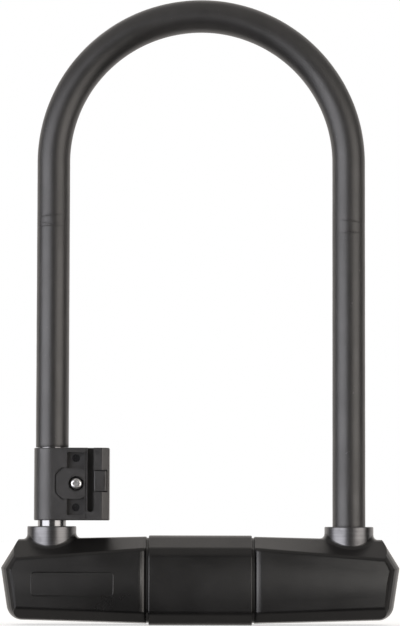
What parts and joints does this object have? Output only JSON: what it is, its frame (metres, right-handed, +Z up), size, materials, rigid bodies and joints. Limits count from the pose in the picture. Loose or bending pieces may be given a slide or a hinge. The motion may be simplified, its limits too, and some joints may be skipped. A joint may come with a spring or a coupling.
{
  "type": "u lock",
  "caption": "Bicycle U-lock: round-crowned coated steel shackle, faceted crossbar with steel collars and underside keyway, and a carrying bracket clamped on one leg.",
  "frame": {"origin": "middle of the crossbar's flat underside", "axes": "+X along the crossbar towards the right leg, -Y is the front, +Z up the shackle towards its crown"},
  "size_m": [0.1962, 0.038, 0.3111],
  "materials": {
    "hardened_steel": "bright ground steel",
    "collar_steel": "satin dark nickel",
    "inner_steel": "plain steel",
    "vinyl": "satin black vinyl coating",
    "cover_plastic": "fine-textured black plastic",
    "bracket_plastic": "satin black plastic",
    "black_oxide": "black oxide",
    "brass": "machined brass",
    "rubber": "black rubber",
    "zinc": "bright zinc plate"
  },
  "bodies": {
    "crossbar": {"crossbar_tube": "inner_steel", "centre_sleeve": "cover_plastic", "left_end_cap": "cover_plastic", "right_end_cap": "cover_plastic", "left_collar": "collar_steel", "right_collar": "collar_steel", "left_collar_seal": "rubber", "right_collar_seal": "rubber", "left_end_plug": "inner_steel", "right_end_plug": "inner_steel", "left_bolt_guide": "inner_steel", "right_bolt_guide": "inner_steel", "end_cap_screws": "black_oxide", "core_housing": "inner_steel", "core_retaining_pins": "inner_steel", "keyhole_plate": "black_oxide"},
    "core": {"lock_plug": "brass", "lock_discs": "brass", "disc_spacers": "inner_steel", "sidebar": "inner_steel", "scroll_cam": "inner_steel"},
    "left_bolt": {"left_deadbolt": "inner_steel", "left_bolt_pin": "inner_steel"},
    "right_bolt": {"right_deadbolt": "inner_steel", "right_bolt_pin": "inner_steel"},
    "shutter": {"dust_cover": "black_oxide"},
    "shackle": {"shackle_bar": "hardened_steel", "shackle_coating": "vinyl"},
    "bracket": {"bracket_front_shell": "bracket_plastic", "bracket_rear_shell": "bracket_plastic", "bracket_liner": "rubber", "clamp_plate": "bracket_plastic", "clamp_bolt": "zinc", "clamp_nut": "zinc", "bracket_screws": "black_oxide"},
    "catch": {"catch_tab": "bracket_plastic"}
  },
  "joints": [
    {"name": "shackle_pull", "type": "slide", "parent": "crossbar", "child": "shackle", "axis": [0, 0, 1], "range_m": [0, 0.045]},
    {"name": "key_turn", "type": "hinge", "parent": "crossbar", "child": "core", "pos_m": [0, 0, 0.012], "axis": [0, 0, 1], "range_deg": [0, 90]},
    {"name": "right_bolt_slide", "type": "slide", "parent": "crossbar", "child": "right_bolt", "axis": [1, 0, 0], "range_m": [0, 0.006]},
    {"name": "left_bolt_slide", "type": "slide", "parent": "crossbar", "child": "left_bolt", "axis": [-1, 0, 0], "range_m": [0, 0.006]},
    {"name": "shutter_slide", "type": "slide", "parent": "crossbar", "child": "shutter", "axis": [1, 0, 0], "range_m": [0, 0.0124]},
    {"name": "bracket_swivel", "type": "hinge", "parent": "shackle", "child": "bracket", "pos_m": [-0.0735, 0, 0.0692], "axis": [0, 0, 1], "range_deg": [-90, 90]},
    {"name": "catch_press", "type": "hinge", "parent": "bracket", "child": "catch", "pos_m": [-0.0472, -0.0077, 0.0707], "axis": [0, 0, -1], "range_deg": [0, 8], "stiffness_Nm_per_rad": 0.05}
  ],
  "couplings": [
    {"joint": "key_turn", "follows": "right_bolt_slide", "rad_per_m": 261.8},
    {"joint": "left_bolt_slide", "follows": "right_bolt_slide", "ratio": 1}
  ]
}
